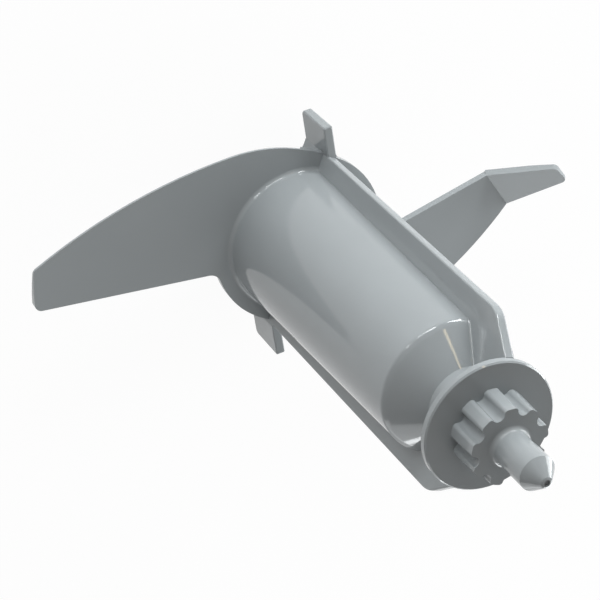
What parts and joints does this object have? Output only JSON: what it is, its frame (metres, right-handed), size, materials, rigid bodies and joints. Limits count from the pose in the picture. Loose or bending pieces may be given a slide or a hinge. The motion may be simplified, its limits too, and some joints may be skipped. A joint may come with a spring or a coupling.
{
  "type": "food processor dough blade",
  "caption": "One-piece plastic kneading blade: hollow drafted hub with opposed flat blades, side fins, a lobed spline and a locating pin on top.",
  "frame": {"origin": "on the hub's axis, in the plane of its open foot, which rests on the floor of the bowl", "axes": "+Z along the hub's axis from the open foot to the locating pin; +Y along one of the two side fins; the long flat blade reaches towards -X"},
  "size_m": [0.1409, 0.069, 0.1405],
  "materials": {
    "grey_plastic": "polished injection moulding, cool mid grey"
  },
  "bodies": {
    "root": {"dough_blade": "grey_plastic"}
  },
  "joints": []
}
